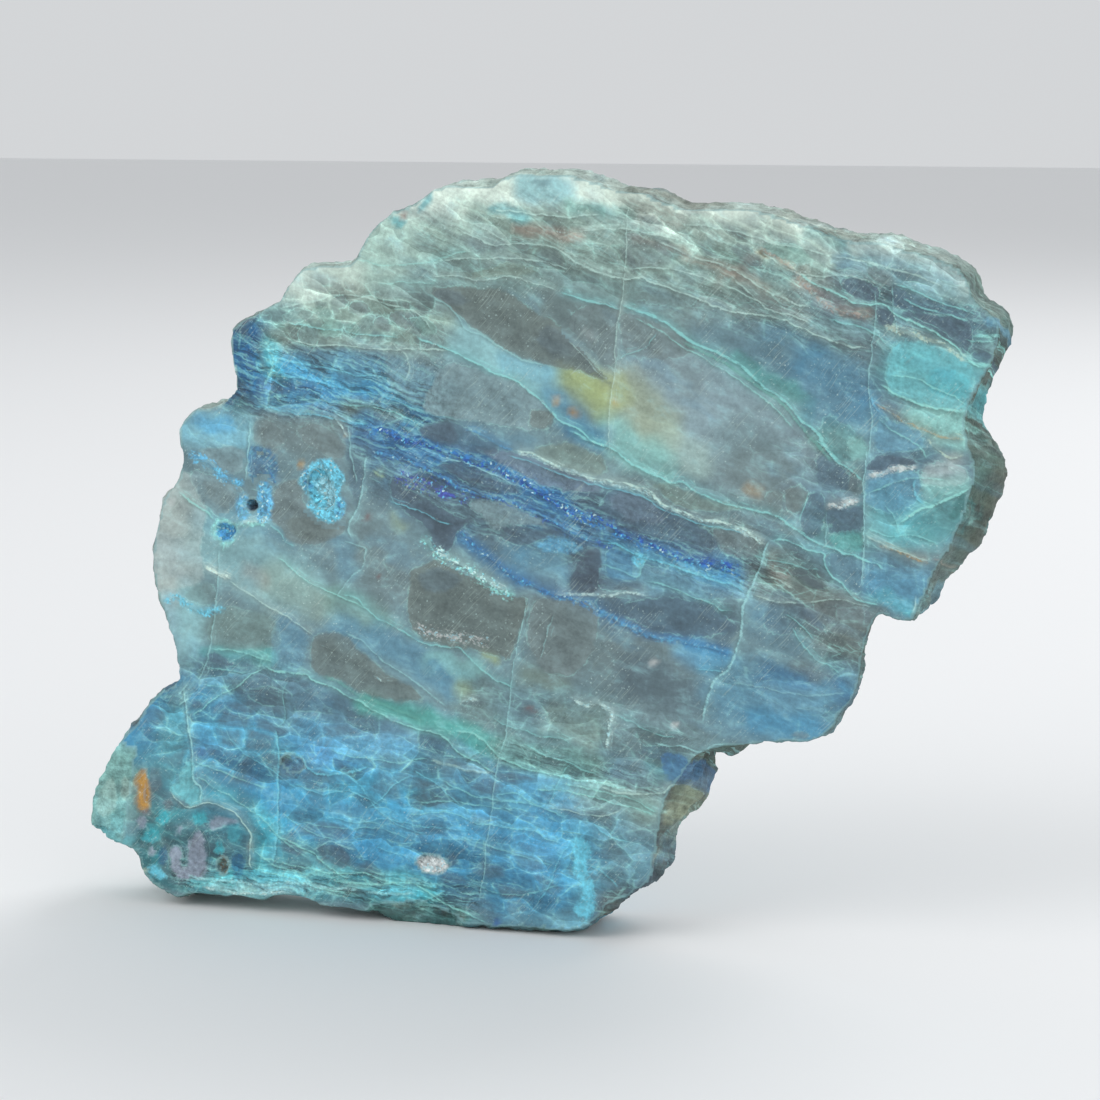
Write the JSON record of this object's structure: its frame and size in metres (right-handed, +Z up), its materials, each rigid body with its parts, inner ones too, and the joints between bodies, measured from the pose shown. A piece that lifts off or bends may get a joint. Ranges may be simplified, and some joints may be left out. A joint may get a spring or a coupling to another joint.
{
  "type": "chrysocolla slab",
  "caption": "Flat slab of banded blue-green chrysocolla in grey quartz, sawn on both broad faces, with a natural broken rim, standing on its lower edge.",
  "frame": {"origin": "under the middle of the slab's overall box, on the surface that it stands on", "axes": "+X along the slab's length, +Y from the polished face to the sawn back, +Z up"},
  "size_m": [0.1192, 0.013, 0.0966],
  "materials": {
    "chrysocolla": "satin polished faces with blue, turquoise, mint and grey bands, and a dull rough natural rim"
  },
  "bodies": {
    "root": {"slab": "chrysocolla"}
  },
  "joints": []
}
